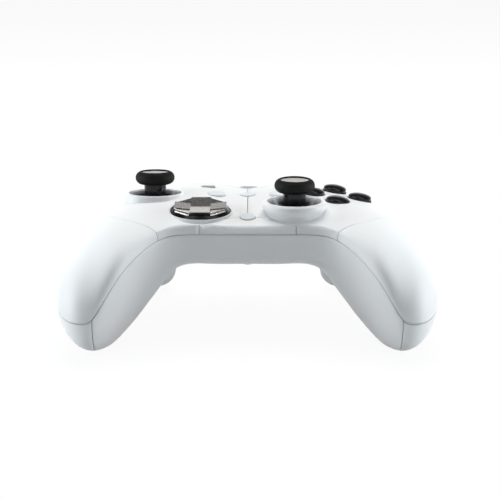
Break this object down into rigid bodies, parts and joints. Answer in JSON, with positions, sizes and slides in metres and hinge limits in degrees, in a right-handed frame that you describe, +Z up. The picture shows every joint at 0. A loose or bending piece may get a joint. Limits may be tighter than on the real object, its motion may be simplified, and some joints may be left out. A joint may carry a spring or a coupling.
{
  "type": "gamepad controller",
  "caption": "Two-handed gamepad with two thumb sticks, a tilting direction pad, round face buttons, bumpers and pull triggers in a split moulded casing.",
  "frame": {"origin": "centre of the overall footprint, on the surface that the grip ends and the triggers rest on", "axes": "+X to the player's right, +Y away from the player towards the triggers, +Z up out of the deck"},
  "size_m": [0.153, 0.1054, 0.0606],
  "materials": {
    "white_shell": "satin moulded plastic, near white",
    "white_grip": "fine textured moulded plastic, near white",
    "white_button": "satin moulded plastic",
    "white_trigger": "satin moulded plastic",
    "grey_key": "pale grey moulded plastic",
    "black_rubber": "matte moulded rubber",
    "black_gloss": "polished black plastic",
    "disc_metal": "satin metal",
    "dish_metal": "polished faceted metal",
    "grey_well": "grey moulded plastic",
    "dark_frame": "dark glass-filled plastic",
    "board": "green circuit board",
    "battery_wrap": "smooth wrapped cell",
    "pad_rubber": "grey silicone rubber",
    "weight_metal": "sintered heavy metal",
    "steel": "stamped steel"
  },
  "bodies": {
    "housing": {"battery": "battery_wrap", "battery_cover": "white_shell", "button_pads": "pad_rubber", "charging_socket": "steel", "control_board": "board", "dpad_posts": "dark_frame", "front_centre_panel": "white_shell", "left_faceplate": "white_shell", "left_grip_panel": "white_grip", "left_rumble_motor": "steel", "left_side_cover": "white_grip", "left_stick_module": "steel", "left_stick_well": "grey_well", "left_trigger_axle": "steel", "left_trigger_bracket": "dark_frame", "left_trigger_spring": "steel", "lower_shell": "white_shell", "main_board": "board", "mid_frame": "dark_frame", "right_faceplate": "white_shell", "right_grip_panel": "white_grip", "right_rumble_motor": "steel", "right_side_cover": "white_grip", "right_stick_module": "steel", "right_stick_well": "grey_well", "right_trigger_axle": "steel", "right_trigger_bracket": "dark_frame", "right_trigger_spring": "steel", "shell_screws": "steel", "top_bridge": "white_shell"},
    "left_yoke": {"left_stick_yoke": "dark_frame"},
    "left_saddle": {"left_stick_saddle": "dark_frame"},
    "left_stick": {"left_stick_cap": "black_rubber", "left_stick_disc": "disc_metal", "left_stick_stem": "black_gloss"},
    "right_yoke": {"right_stick_yoke": "dark_frame"},
    "right_saddle": {"right_stick_saddle": "dark_frame"},
    "right_stick": {"right_stick_cap": "black_rubber", "right_stick_disc": "disc_metal", "right_stick_stem": "black_gloss"},
    "dpad_link": {"dpad_rocker": "dark_frame"},
    "dpad": {"dpad_base": "black_gloss", "dpad_dish": "dish_metal"},
    "face_button_west": {"face_button_west": "black_gloss"},
    "face_button_east": {"face_button_east": "black_gloss"},
    "face_button_north": {"face_button_north": "black_gloss"},
    "face_button_south": {"face_button_south": "black_gloss"},
    "view_button": {"view_button": "white_button"},
    "menu_button": {"menu_button": "white_button"},
    "centre_button": {"centre_button": "white_button"},
    "lower_button": {"lower_button": "white_button"},
    "home_button": {"home_button": "white_button"},
    "profile_key": {"profile_key": "grey_key"},
    "left_bumper": {"left_bumper": "white_shell"},
    "right_bumper": {"right_bumper": "white_shell"},
    "left_trigger": {"left_trigger": "white_trigger"},
    "right_trigger": {"right_trigger": "white_trigger"},
    "left_weight": {"left_rumble_weight": "weight_metal"},
    "right_weight": {"right_rumble_weight": "weight_metal"}
  },
  "joints": [
    {"name": "left_stick_lean", "type": "hinge", "parent": "housing", "child": "left_yoke", "pos_m": [-0.0399, 0.02153, 0.03754], "axis": [1, 0, 0], "range_deg": [-15, 15], "stiffness_Nm_per_rad": 0.05},
    {"name": "left_stick_tilt", "type": "hinge", "parent": "left_yoke", "child": "left_saddle", "pos_m": [-0.0399, 0.02153, 0.03754], "axis": [0, 0.9972, -0.075], "range_deg": [-15, 15], "stiffness_Nm_per_rad": 0.05},
    {"name": "left_stick_click", "type": "slide", "parent": "left_saddle", "child": "left_stick", "axis": [0, -0.075, -0.9972], "range_m": [0, 0.0005], "stiffness_N_per_m": 3000, "springref_m": -0.0003},
    {"name": "right_stick_lean", "type": "hinge", "parent": "housing", "child": "right_yoke", "pos_m": [0.0194, -0.0012, 0.03927], "axis": [1, 0, 0], "range_deg": [-15, 15], "stiffness_Nm_per_rad": 0.05},
    {"name": "right_stick_tilt", "type": "hinge", "parent": "right_yoke", "child": "right_saddle", "pos_m": [0.0194, -0.0012, 0.03927], "axis": [0, 0.9998, -0.0175], "range_deg": [-15, 15], "stiffness_Nm_per_rad": 0.05},
    {"name": "right_stick_click", "type": "slide", "parent": "right_saddle", "child": "right_stick", "axis": [0, -0.0175, -0.9998], "range_m": [0, 0.0005], "stiffness_N_per_m": 3000, "springref_m": -0.0003},
    {"name": "dpad_lean", "type": "hinge", "parent": "housing", "child": "dpad_link", "pos_m": [-0.0196, -0.00056, 0.04185], "axis": [1, 0, 0], "range_deg": [-3, 3], "stiffness_Nm_per_rad": 0.25},
    {"name": "dpad_tilt", "type": "hinge", "parent": "dpad_link", "child": "dpad", "pos_m": [-0.0196, -0.00056, 0.04185], "axis": [0, 0.9985, 0.0541], "range_deg": [-3, 3], "stiffness_Nm_per_rad": 0.25},
    {"name": "face_button_west_press", "type": "slide", "parent": "housing", "child": "face_button_west", "axis": [-0.1253, 0.019, -0.9919], "range_m": [0, 0.0012], "stiffness_N_per_m": 1000, "springref_m": -0.0003},
    {"name": "face_button_east_press", "type": "slide", "parent": "housing", "child": "face_button_east", "axis": [-0.1253, 0.019, -0.9919], "range_m": [0, 0.0012], "stiffness_N_per_m": 1000, "springref_m": -0.0003},
    {"name": "face_button_north_press", "type": "slide", "parent": "housing", "child": "face_button_north", "axis": [-0.1253, 0.019, -0.9919], "range_m": [0, 0.0012], "stiffness_N_per_m": 1000, "springref_m": -0.0003},
    {"name": "face_button_south_press", "type": "slide", "parent": "housing", "child": "face_button_south", "axis": [-0.1253, 0.019, -0.9919], "range_m": [0, 0.0012], "stiffness_N_per_m": 1000, "springref_m": -0.0003},
    {"name": "view_button_press", "type": "slide", "parent": "housing", "child": "view_button", "axis": [0, 0.0122, -0.9999], "range_m": [0, 0.0007], "stiffness_N_per_m": 2000, "springref_m": -0.0003},
    {"name": "menu_button_press", "type": "slide", "parent": "housing", "child": "menu_button", "axis": [0, 0.0122, -0.9999], "range_m": [0, 0.0007], "stiffness_N_per_m": 2000, "springref_m": -0.0003},
    {"name": "centre_button_press", "type": "slide", "parent": "housing", "child": "centre_button", "axis": [0, 0.007, -1], "range_m": [0, 0.0007], "stiffness_N_per_m": 2000, "springref_m": -0.0003},
    {"name": "lower_button_press", "type": "slide", "parent": "housing", "child": "lower_button", "axis": [0, 0.1942, -0.981], "range_m": [0, 0.0007], "stiffness_N_per_m": 2000, "springref_m": -0.0003},
    {"name": "home_button_press", "type": "slide", "parent": "housing", "child": "home_button", "axis": [0, -0.314, -0.9494], "range_m": [0, 0.0006], "stiffness_N_per_m": 2000, "springref_m": -0.0003},
    {"name": "profile_key_press", "type": "slide", "parent": "housing", "child": "profile_key", "axis": [0, -0.0924, -0.9957], "range_m": [0, 0.0005], "stiffness_N_per_m": 2000, "springref_m": -0.0003},
    {"name": "left_bumper_press", "type": "hinge", "parent": "housing", "child": "left_bumper", "pos_m": [-0.01553, 0.04589, 0.03972], "axis": [0, -0.9972, 0.075], "range_deg": [0, 1.2], "stiffness_Nm_per_rad": 3, "springref_deg": -0.57},
    {"name": "right_bumper_press", "type": "hinge", "parent": "housing", "child": "right_bumper", "pos_m": [0.01553, 0.04589, 0.03972], "axis": [0, 0.9972, -0.075], "range_deg": [0, 1.2], "stiffness_Nm_per_rad": 3, "springref_deg": -0.57},
    {"name": "left_trigger_pull", "type": "hinge", "parent": "housing", "child": "left_trigger", "pos_m": [-0.039, 0.03409, 0.03108], "axis": [-1, 0, 0], "range_deg": [0, 18], "stiffness_Nm_per_rad": 0.08, "springref_deg": -11.46},
    {"name": "right_trigger_pull", "type": "hinge", "parent": "housing", "child": "right_trigger", "pos_m": [0.039, 0.03409, 0.03108], "axis": [-1, 0, 0], "range_deg": [0, 18], "stiffness_Nm_per_rad": 0.08, "springref_deg": -11.46},
    {"name": "left_rumble_spin", "type": "hinge", "parent": "housing", "child": "left_weight", "pos_m": [-0.0535, -0.02181, 0.02124], "axis": [-1, 0, 0], "continuous": true},
    {"name": "right_rumble_spin", "type": "hinge", "parent": "housing", "child": "right_weight", "pos_m": [0.0535, -0.02181, 0.02124], "axis": [1, 0, 0], "continuous": true}
  ]
}
